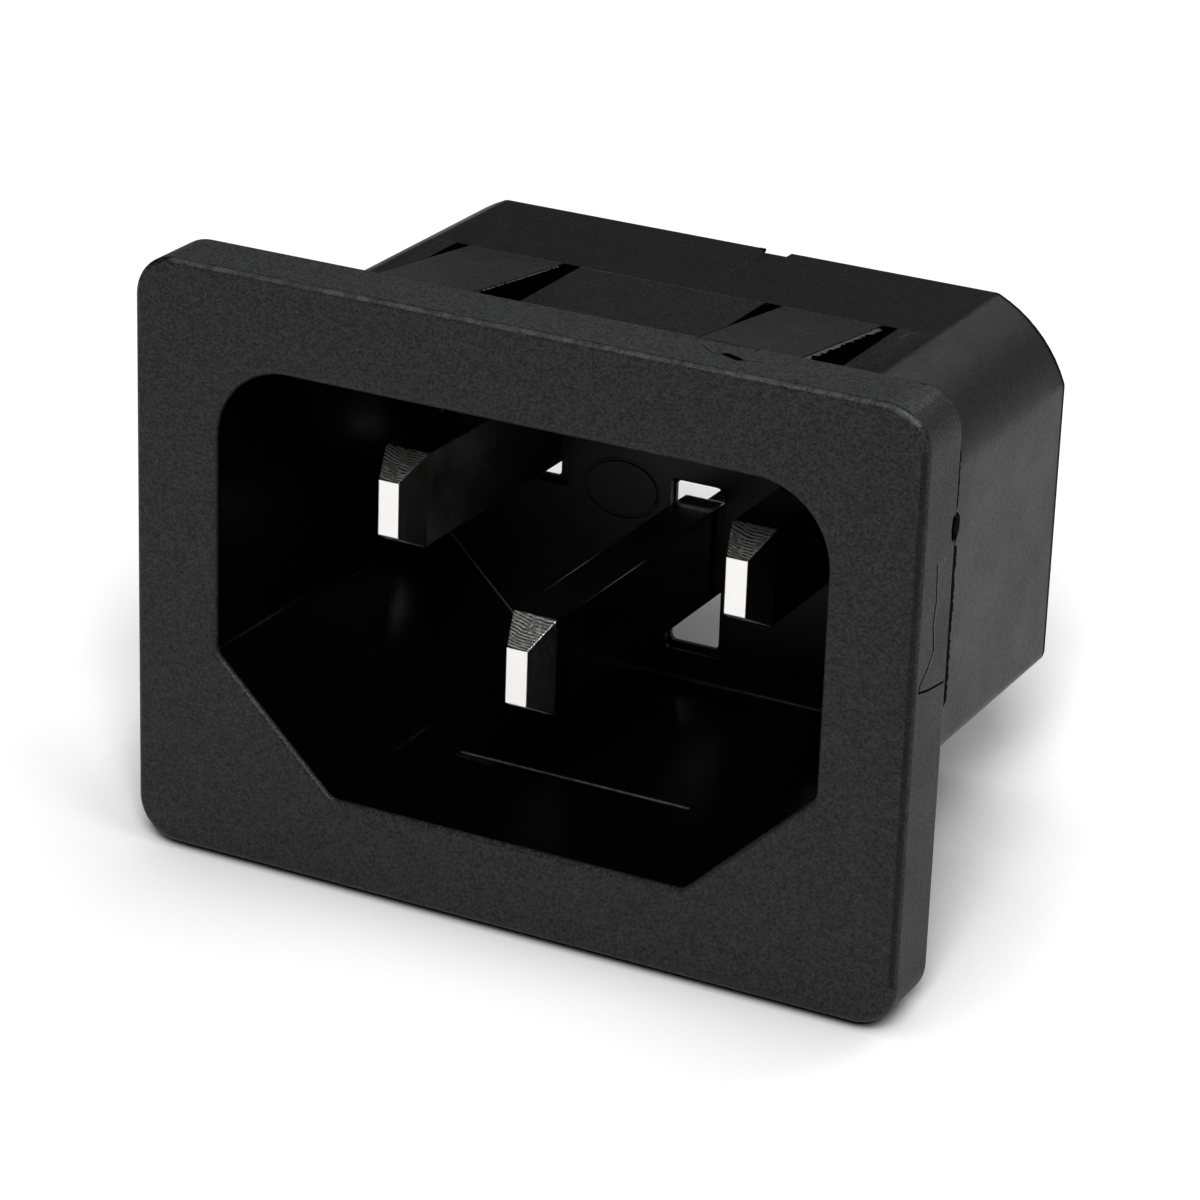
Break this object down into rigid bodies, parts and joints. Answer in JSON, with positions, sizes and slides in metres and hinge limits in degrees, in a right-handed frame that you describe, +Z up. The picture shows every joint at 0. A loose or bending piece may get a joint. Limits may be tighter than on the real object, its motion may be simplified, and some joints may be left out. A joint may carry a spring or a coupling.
{
  "type": "c14 panel inlet socket",
  "caption": "Snap-in panel inlet socket: rectangular flange, shrouded cavity with bevelled flat pins, snap fingers on the body and tab terminals behind.",
  "frame": {"origin": "centre of the flange's rear face, which is the face that lies on the panel", "axes": "+X to the right seen from the front, -Y out of the socket's mouth, +Y into the panel along the body, +Z up"},
  "size_m": [0.0308, 0.0256, 0.0228],
  "materials": {
    "housing_plastic": "black thermoplastic with a fine spark-eroded grain",
    "contact_plating": "bright nickel-plated brass with fine drawing marks"
  },
  "bodies": {
    "root": {"housing": "housing_plastic", "line_contact": "contact_plating", "neutral_contact": "contact_plating", "earth_contact": "contact_plating"}
  },
  "joints": []
}
